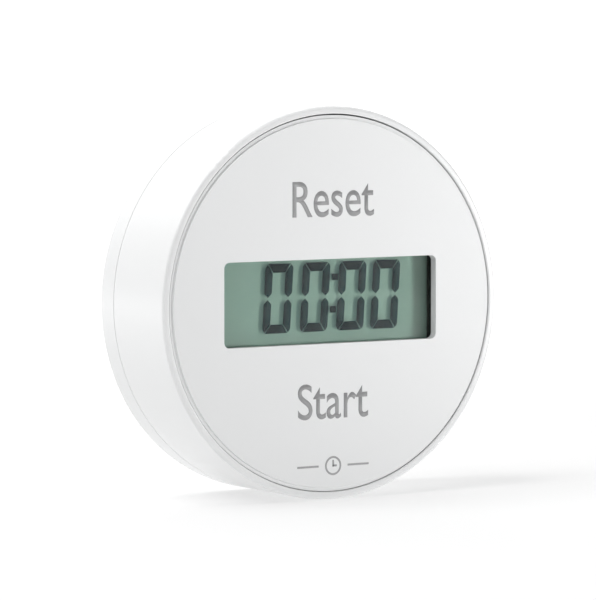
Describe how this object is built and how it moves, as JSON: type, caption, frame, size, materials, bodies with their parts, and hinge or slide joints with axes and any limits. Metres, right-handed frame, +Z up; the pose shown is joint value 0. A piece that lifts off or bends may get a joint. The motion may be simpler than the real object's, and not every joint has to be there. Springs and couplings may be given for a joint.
{
  "type": "kitchen timer",
  "caption": "Round battery kitchen timer with a rotary setting ring, a rocking front panel with a liquid crystal display, and a flat magnetic back.",
  "frame": {"origin": "centre of the flat magnetic back face, on the axis of the round body", "axes": "+Y out of the back along the body's axis, so the front faces -Y; +Z up as the timer hangs upright; +X to the right seen from the front"},
  "size_m": [0.078, 0.0246, 0.078],
  "materials": {
    "shell_white": "moulded ABS with a gloss finish",
    "ring_white": "moulded ABS with a gloss finish",
    "panel_white": "moulded ABS with a satin gloss face",
    "door_white": "moulded ABS with a fine matte texture",
    "inner_plastic": "moulded ABS, natural finish",
    "gear_plastic": "natural acetal",
    "holder_plastic": "black ABS",
    "magnet_steel": "nickel-plated sintered magnet",
    "screw_steel": "zinc-plated steel",
    "contact_steel": "nickel-plated spring steel",
    "cell_jacket": "plain sleeved steel can",
    "board_green": "glass-fibre board with solder mask",
    "chip_black": "black epoxy",
    "crystal_can": "drawn metal can",
    "chip_ceramic": "fired ceramic with tinned ends",
    "switch_black": "black nylon",
    "plunger_plastic": "natural nylon",
    "shaft_steel": "turned steel",
    "lens_clear": "clear acrylic",
    "cell_glass": "thin float glass",
    "polariser_film": "grey-green polarising film",
    "reflector_film": "grey-green reflective film",
    "strip_rubber": "layered conductive silicone",
    "buzzer_brass": "rolled brass",
    "buzzer_ceramic": "fired ceramic with silvered face",
    "lead_insulation": "insulated wire"
  },
  "bodies": {
    "root": {"rear_base": "shell_white", "magnets": "magnet_steel", "battery_cell": "cell_jacket", "positive_contact": "contact_steel", "negative_contact": "contact_steel", "battery_spring": "contact_steel", "encoder_body": "switch_black", "chassis": "inner_plastic", "case_screws": "screw_steel", "board_screws": "screw_steel", "circuit_board": "board_green", "controller_chip": "chip_black", "crystal": "crystal_can", "chip_components": "chip_ceramic", "reset_switch_body": "switch_black", "start_switch_body": "switch_black", "display_holder": "holder_plastic", "display_polariser": "polariser_film", "display_front_glass": "cell_glass", "display_rear_glass": "cell_glass", "display_reflector": "reflector_film", "display_connectors": "strip_rubber", "buzzer_disc": "buzzer_brass", "buzzer_ceramic": "buzzer_ceramic", "buzzer_leads": "lead_insulation"},
    "ring": {"rotary_ring": "ring_white", "ring_gear": "gear_plastic"},
    "encoder": {"encoder_pinion": "gear_plastic", "encoder_shaft": "shaft_steel"},
    "panel": {"front_panel": "panel_white", "display_lens": "lens_clear"},
    "reset_plunger": {"reset_switch_plunger": "plunger_plastic"},
    "start_plunger": {"start_switch_plunger": "plunger_plastic"},
    "battery_door": {"battery_cover": "door_white"}
  },
  "joints": [
    {"name": "ring_spin", "type": "hinge", "parent": "root", "child": "ring", "pos_m": [0, -0.015, 0], "axis": [0, -1, 0], "continuous": true},
    {"name": "encoder_spin", "type": "hinge", "parent": "root", "child": "encoder", "pos_m": [0.0188, -0.0117, -0.02241], "axis": [0, -1, 0], "continuous": true},
    {"name": "panel_tilt", "type": "hinge", "parent": "root", "child": "panel", "pos_m": [0, -0.0203, -0.00008], "axis": [1, 0, 0], "range_deg": [-0.9, 0.9], "stiffness_Nm_per_rad": 0.6},
    {"name": "reset_press", "type": "slide", "parent": "root", "child": "reset_plunger", "axis": [0, 1, 0], "range_m": [-0.0003, 0.0003]},
    {"name": "start_press", "type": "slide", "parent": "root", "child": "start_plunger", "axis": [0, 1, 0], "range_m": [-0.0003, 0.0003]},
    {"name": "battery_door_swing", "type": "hinge", "parent": "root", "child": "battery_door", "pos_m": [0, -0.00075, -0.00655], "axis": [-1, 0, 0], "range_deg": [0, 100]}
  ],
  "couplings": [
    {"joint": "encoder_spin", "follows": "ring_spin", "ratio": 6},
    {"joint": "reset_press", "follows": "panel_tilt", "m_per_rad": -0.0185},
    {"joint": "start_press", "follows": "panel_tilt", "m_per_rad": 0.0185}
  ]
}
